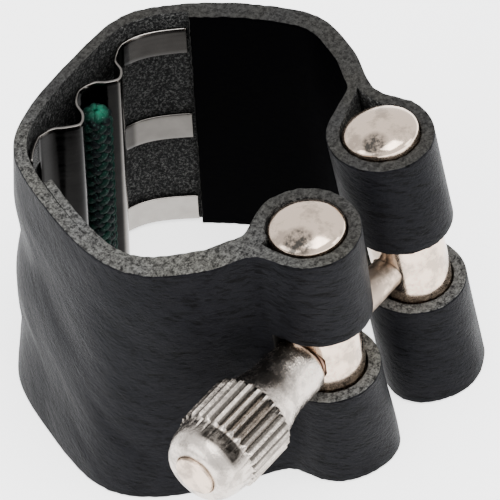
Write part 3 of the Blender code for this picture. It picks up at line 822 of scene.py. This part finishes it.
def build_knob(material):
    low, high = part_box("knob")
    hub_end = high.x
    length = high.x - low.x
    knob_radius = (high.z - low.z) / 2
    knurl_start, knurl_end = KNURL
    hub, waist = 2.62 * MM, 2.58 * MM
    bore = 1.86 * MM
    hub_straight = 1.0 * MM
    profile = [(1.46 * MM, 0.35 * MM), (1.6 * MM, 0.0), (hub - 0.32 * MM, 0.0),
               (hub - 0.1 * MM, 0.1 * MM), (hub, 0.35 * MM), (hub, hub_straight)]
    for k in range(1, 13):
        t = k / 12
        flare = waist + 0.62 * MM * smooth_step(t, 0.3, 1.0) ** 1.3
        profile.append((flare, hub_straight + (knurl_start - hub_straight) * t))
    full_width = knurl_start + 0.35 * MM
    profile += [(knob_radius - FLUTE_DEPTH, knurl_start + 0.02 * MM),
                (knob_radius - 0.2 * MM, knurl_start + 0.12 * MM), (knob_radius, full_width)]
    for k in range(1, 9):
        profile.append((knob_radius, full_width + (knurl_end - knurl_start - 0.55 * MM) * k / 8))
    end_radius = 2.35 * MM
    shoulder = knob_radius - 0.30 * MM
    shoulder_z = knurl_end + 0.12 * MM
    profile += [(knob_radius - 0.05 * MM, knurl_end - 0.1 * MM), (shoulder, shoulder_z)]
    for k in range(1, 13):
        angle = math.pi / 2 * k / 12
        radius = end_radius + (shoulder - end_radius) * math.cos(angle)
        rise = math.sin(angle) ** 1.1
        profile.append((radius, shoulder_z + (length - shoulder_z) * rise))
    profile += [(bore + 0.1 * MM, length), (bore, length - 0.08 * MM), (bore, length - 1.2 * MM)]

    def fluted(radius, angle, z):
        """Straight V flutes, which run out on the dome in points."""
        wave = abs(((angle * FLUTES / (2 * math.pi)) % 1.0) * 2 - 1)
        groove = (1 - wave) ** 0.8
        floor = knob_radius - FLUTE_DEPTH * groove
        return min(radius, floor) if z > knurl_start + 0.04 * MM else radius

    knob = turned("knob_turned", profile, FLUTES * 10, material, fluted)
    lay_on_screw(knob, hub_end)
    sharpen(knob, 50)
    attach(knob, "thumbscrew")
    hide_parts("knob")
    return knob


def build_rod(material):
    low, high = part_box("screw_rod")
    length = high.x - low.x
    radius, head = 1.42 * MM, 1.8 * MM
    pitch = 0.635 * MM
    profile = [(0.0, 0.0), (head - 0.22 * MM, 0.0), (head - 0.06 * MM, 0.05 * MM), (head, 0.2 * MM),
               (head, 1.25 * MM), (radius, 1.3 * MM)]
    thread_start = length - 6.4 * MM
    count = int((length - thread_start) / (pitch / 8))
    profile += [(radius, thread_start)]
    for k in range(1, count + 1):
        profile.append((radius, thread_start + (length - thread_start - 0.1 * MM) * k / count))
    profile += [(radius - 0.35 * MM, length), (0.0, length)]
    profile = [(r, -z) for r, z in profile]

    def threaded(r, angle, z):
        depth = -z
        if depth < thread_start + 0.1 * MM or r < radius - 1e-6:
            return r
        phase = (depth / pitch - angle / (2 * math.pi)) % 1.0
        fade = smooth_step(depth, thread_start, thread_start + pitch)
        taper = max(0.0, depth - (length - 0.5 * MM)) * 0.6
        return r - 0.3 * MM * fade * (1 - abs(phase * 2 - 1)) - taper

    rod = turned("rod_turned", profile, 64, material, threaded)
    lay_on_screw(rod, low.x)
    sharpen(rod, 40)
    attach(rod, "thumbscrew")
    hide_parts("screw_rod")
    return rod


def build_washer(node, material):
    low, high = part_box(node)
    half = (high.x - low.x) / 2
    outer = (high.z - low.z) / 2
    inner = 1.5 * MM
    corners = [(inner, 0.0), (inner, half), (outer, half), (outer, -half), (inner, -half), (inner, 0.0)]
    ring = rounded(corners, 0.12 * MM)
    washer = turned(node + "_ring", ring, 64, material)
    bm = bmesh.new()
    bm.from_mesh(washer.data)
    bmesh.ops.remove_doubles(bm, verts=bm.verts, dist=1e-7)
    bm.to_mesh(washer.data)
    bm.free()
    lay_on_screw(washer, (low.x + high.x) / 2)
    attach(washer, "thumbscrew")
    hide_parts(node)
    return washer


# ---------------------------------------------------------------- reed plate and cord

SPINE = [(-8.7, 12.75), (-7.4, 12.35), (-6.6, 11.5), (-5.6, 10.75), (-4.6, 11.3), (-3.9, 12.5),
         (-2.6, 13.25), (-1.2, 12.8), (-0.5, 11.9), (0.4, 11.3), (1.3, 11.8), (1.9, 12.9), (3.0, 13.5)]
LEFT_FINGERS = (6.1, 6.68)     # spans of the outline that the fingers lie along
RIGHT_FINGERS = (8.78, 10.07)
BACK_LEAN = 1.35 * MM          # how much further back the plate and cord stand at the bottom
PLATE = 0.26 * MM


def lean_out(z):
    return np.array([0.0, BACK_LEAN * (1 - z / HEIGHT)])


def build_plate(material):
    low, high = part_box("reed_plate")
    finger = 2.9 * MM
    middle = (low.z + high.z - finger) / 2
    marks = [low.z, low.z + finger, middle, middle + finger, high.z - finger, high.z]
    rows = []
    for first, second in zip(marks, marks[1:]):
        rows += list(np.linspace(first, second, 6, endpoint=False))
    rows = np.array(rows + [marks[-1]])
    depth = WALL + 0.12 * MM + PLATE / 2
    left_count, right_count = 14, 26

    def path(z):
        keys = plan(SPINE) + lean_out(z)
        spine = spline(keys, np.linspace(0, len(keys) - 1, 8 * (len(keys) - 1) + 1))
        left = inner_wall(np.linspace(*LEFT_FINGERS, left_count), z, depth)
        right = inner_wall(np.linspace(*RIGHT_FINGERS, right_count), z, depth)
        return np.vstack([left, spine, right])

    middle_line = np.stack([path(z) for z in rows], axis=1)
    columns = middle_line.shape[0]
    normal = np.stack([right_normals(middle_line[:, j]) for j in range(len(rows))], axis=1)
    height = np.broadcast_to(rows[None, :, None], (columns, len(rows), 1))
    front = np.concatenate([middle_line + normal * PLATE / 2, height], axis=2)
    back = np.concatenate([middle_line - normal * PLATE / 2, height], axis=2)
    keep = np.ones((columns - 1, len(rows) - 1), bool)
    fingers = np.zeros(columns - 1, bool)
    fingers[:left_count] = True
    fingers[-right_count:] = True
    for gap in ((marks[1], marks[2]), (marks[3], marks[4])):
        between = (rows[:-1] >= gap[0] - 1e-6) & (rows[1:] <= gap[1] + 1e-6)
        keep[np.ix_(fingers, between)] = False
    plate = thick_sheet("plate_sheet", front, back, keep, [material] * 3, edge=0.06 * MM)
    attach(plate, "band")
    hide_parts("reed_plate")
    return plate


def build_cord(green, dark):
    low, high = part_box("reed_cord")
    bottom, top = low.z, high.z
    centre_x = (low.x + high.x) / 2
    radius = (high.x - low.x) / 2 + 0.12 * MM
    strands, sides, per_turn = 6, 8, 44
    strand_radius = 0.33 * MM
    middle_radius = radius - strand_radius - 0.12 * MM
    pitch = 6.6 * MM
    bm = bmesh.new()
    uv_layer = bm.loops.layers.uv.new("UVMap")
    turns = (top - bottom) / pitch
    count = int(turns * per_turn)
    base_y = high.y - (high.x - low.x) / 2

    def middle(z):
        return Vector((centre_x, base_y - BACK_LEAN * (z - bottom) / HEIGHT, z))

    for hand in (1, -1):
        for k in range(strands):
            line = []
            for n in range(count + 1):
                z = bottom + (top - bottom) * n / count
                angle = hand * 2 * math.pi * (z - bottom) / pitch + 2 * math.pi * k / strands
                wave = math.cos(2 * math.pi * strands * (z - bottom) / pitch)
                r = middle_radius + hand * 0.13 * MM * wave
                close = min(1.0, max(0.0, (top - z) / (1.0 * MM)))
                r *= math.sqrt(max(0.05, 1 - (1 - close) ** 2))
                line.append(middle(z) + Vector((r * math.cos(angle), r * math.sin(angle), 0.0)))
            rings = []
            for n, point in enumerate(line):
                along = (line[min(n + 1, count)] - line[max(n - 1, 0)]).normalized()
                out = point - middle(point.z)
                out = (out - along * out.dot(along)).normalized()
                across = along.cross(out)
                ring = []
                for s in range(sides):
                    a = 2 * math.pi * s / sides
                    offset = out * math.cos(a) * 0.8 + across * math.sin(a) * 1.15
                    ring.append(bm.verts.new(point + offset * strand_radius))
                rings.append(ring)
            for n, (first, second) in enumerate(zip(rings, rings[1:])):
                for s in range(sides):
                    t = (s + 1) % sides
                    face = bm.faces.new((first[s], first[t], second[t], second[s]))
                    face.material_index = 0 if hand > 0 else 1
                    for loop, pair in zip(face.loops, ((n, s), (n, s + 1), (n + 1, s + 1), (n + 1, s))):
                        loop[uv_layer].uv = (pair[0] * 0.15, pair[1] / sides)
            for ring in (rings[0], rings[-1]):
                face = bm.faces.new(ring)
                face.material_index = 0 if hand > 0 else 1
    bmesh.ops.recalc_face_normals(bm, faces=bm.faces)
    cord = mesh_object("cord_braid", bm, [green, dark])
    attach(cord, "band")
    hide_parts("reed_cord")
    return cord


# ---------------------------------------------------------------- stage

def area_light(name, place, target, size, power):
    light = bpy.data.lights.new(name, "AREA")
    light.shape = "RECTANGLE"
    light.size = size[0]
    light.size_y = size[1]
    light.energy = power
    obj = bpy.data.objects.new(name, light)
    bpy.context.scene.collection.objects.link(obj)
    obj.location = place
    obj.rotation_euler = (Vector(target) - Vector(place)).to_track_quat("-Z", "Y").to_euler()


def build_stage():
    bm = bmesh.new()
    bmesh.ops.create_grid(bm, x_segments=2, y_segments=2, size=2.0)
    floor = mesh_object("floor", bm, [plain_floor()])
    floor.location = (0.0, 0.0, -0.0001)
    world = bpy.data.worlds.new("studio")
    bpy.context.scene.world = world
    world.use_nodes = True
    background = world.node_tree.nodes["Background"]
    background.inputs["Color"].default_value = (0.97, 0.98, 1.0, 1.0)
    background.inputs["Strength"].default_value = 1.6
    centre = (0.0, 0.0, 0.012)
    area_light("top", (0.002, -0.083, 0.32), centre, (0.20, 0.20), 1.0)
    area_light("side", (-0.30, 0.10, 0.22), centre, (0.30, 0.20), 0.9)
    area_light("front", (0.16, -0.30, 0.12), centre, (0.14, 0.14), 0.25)


def build_camera():
    """Long lens at the reference view's angle, with its slight roll."""
    azimuth, elevation, roll = math.radians(-50.54), math.radians(46.8), math.radians(-4.24)
    distance = 402.2 * MM
    back = Vector((math.sin(azimuth) * math.cos(elevation), -math.cos(azimuth) * math.cos(elevation),
                   math.sin(elevation)))
    right = Vector((math.cos(azimuth), math.sin(azimuth), 0.0))
    up = back.cross(right)
    level_right = right * math.cos(roll) + up * math.sin(roll)
    level_up = up * math.cos(roll) - right * math.sin(roll)
    camera = bpy.data.cameras.new("camera")
    camera.lens = 345.1
    camera.sensor_width = 36.0
    camera.clip_start = 0.01
    obj = bpy.data.objects.new("camera", camera)
    bpy.context.scene.collection.objects.link(obj)
    aim = Vector((ORIGIN[0], ORIGIN[1], HEIGHT / 2)) + level_right * 1.43 * MM - level_up * 1.96 * MM
    placed = Matrix((level_right, level_up, back)).transposed().to_4x4()
    placed.translation = aim + back * distance
    obj.matrix_world = placed
    bpy.context.scene.camera = obj


def build():
    build_stage()
    build_camera()
    leather = [leather_grain(), leather_suede(), leather_rim(), leather_inner()]
    strap_left = build_strap_half(-1, leather)
    strap_right = build_strap_half(1, leather)
    for side, strap in ((-1, strap_left), (1, strap_right)):
        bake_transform(strap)
    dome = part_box("post_left")[1].z - SCREW.z
    # The posts' domes carry a painted dark reflection beside their highlight.
    build_post(-1, nickel("nickel_left", reflection_patch=((-2.2 * MM, -0.85 * MM, dome - 0.35 * MM), 1.5 * MM)))
    build_post(1, nickel("nickel_right", reflection_patch=((-2.0 * MM, -1.0 * MM, dome - 0.35 * MM), 1.25 * MM)))
    knob_radius = (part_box("knob")[1].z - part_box("knob")[0].z) / 2
    # Centre of the knob's painted dark reflection, on the shoulder beyond the flutes.
    spot = (2.85 * MM, -1.45 * MM, 12.7 * MM)
    build_knob(nickel("nickel_knob", 0.5, shine=(0.16, 0.34), tint=(0.56, 0.495, 0.435),
                      reflection_patch=(spot, 2.5 * MM), grooves=(knob_radius, FLUTE_DEPTH, *KNURL)))
    build_rod(nickel("steel", 0.6, shine=(0.28, 0.5)))
    copper = bronze()
    build_washer("washer_inner", copper)
    build_washer("washer_outer", copper)
    build_plate(spring_sheet())
    low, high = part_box("reed_cord")
    frayed = ((low.x + high.x) / 2, low.y + 1.2 * MM, high.z - 0.2 * MM)
    green = braid_thread("braid_green", (0.0005, 0.003, 0.0026), (0.003, 0.048, 0.031), frayed)
    dark = braid_thread("braid_dark", (0.0004, 0.001, 0.0016), (0.002, 0.008, 0.009), frayed)
    build_cord(green, dark)


build()
